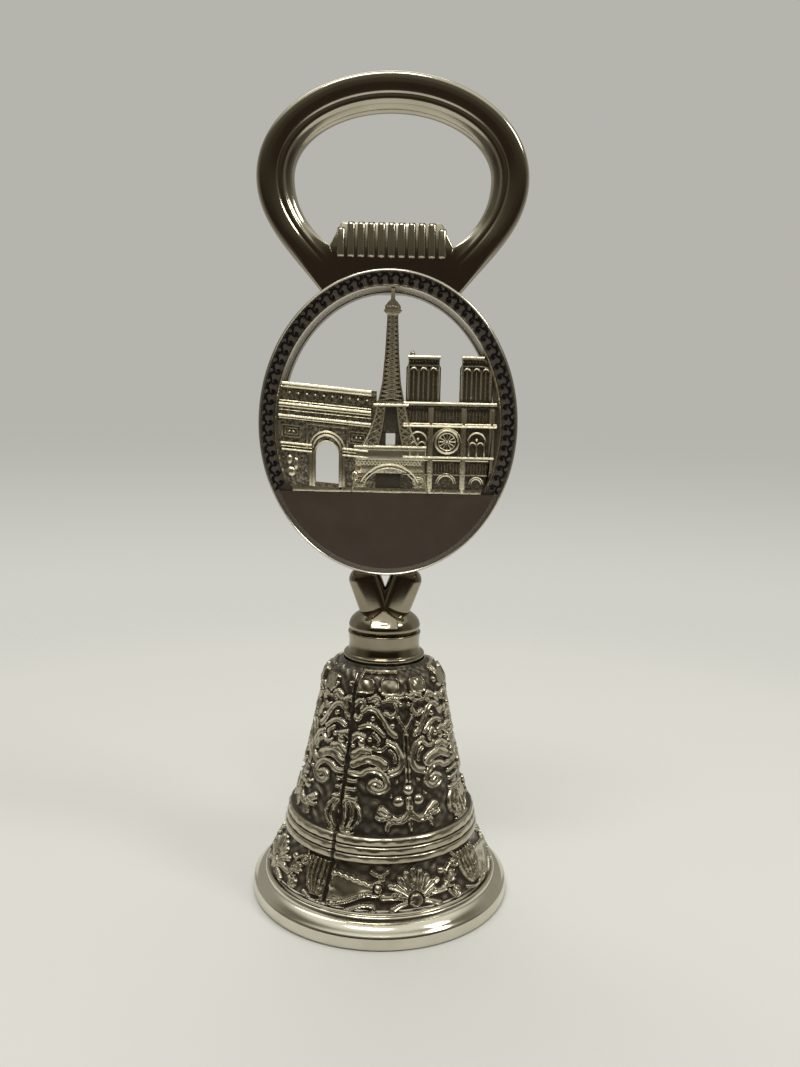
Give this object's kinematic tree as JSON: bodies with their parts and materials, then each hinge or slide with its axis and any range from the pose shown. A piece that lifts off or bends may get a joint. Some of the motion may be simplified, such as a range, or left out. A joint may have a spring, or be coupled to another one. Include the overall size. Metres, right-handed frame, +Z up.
{
  "type": "souvenir bell bottle opener",
  "caption": "Cast metal hand bell with a swinging clapper, whose handle is an oval openwork city medallion topped by a crown-cap opener ring.",
  "frame": {"origin": "centre of the bell's mouth, in the plane that the lip stands on", "axes": "+Z up along the bell's axis to the opener ring, +X across the width of the medallion and ring, -Y towards the front"},
  "size_m": [0.0458, 0.0458, 0.14],
  "materials": {
    "bell_nickel": "nickel plate, antiqued dark in the recesses and rubbed bright on the relief",
    "polished_nickel": "polished nickel plate over cast zinc alloy",
    "medallion_nickel": "satin nickel plate with toned recesses",
    "black_enamel": "black fired enamel in a shallow channel",
    "brown_enamel": "smooth dark brown enamel, blank",
    "zinc_steel": "bright zinc plated steel"
  },
  "bodies": {
    "bell": {"bell_body": "bell_nickel", "neck_ferrule": "polished_nickel", "opener_handle": "polished_nickel", "medallion_rim": "medallion_nickel", "rim_enamel": "black_enamel", "skyline_plate": "medallion_nickel", "name_panel": "brown_enamel", "hanger_stud": "zinc_steel", "crown_washer": "zinc_steel", "crown_nut": "zinc_steel"},
    "link": {"clapper_link": "zinc_steel"},
    "clapper": {"clapper_wire": "zinc_steel", "clapper_ball": "zinc_steel"}
  },
  "joints": [
    {"name": "link_swing", "type": "hinge", "parent": "bell", "child": "link", "pos_m": [0, 0, 0.0333], "axis": [0, 1, 0], "range_deg": [-27, 27]},
    {"name": "clapper_rock", "type": "hinge", "parent": "link", "child": "clapper", "pos_m": [0, 0, 0.02962], "axis": [1, 0, 0], "range_deg": [-8, 8]}
  ]
}
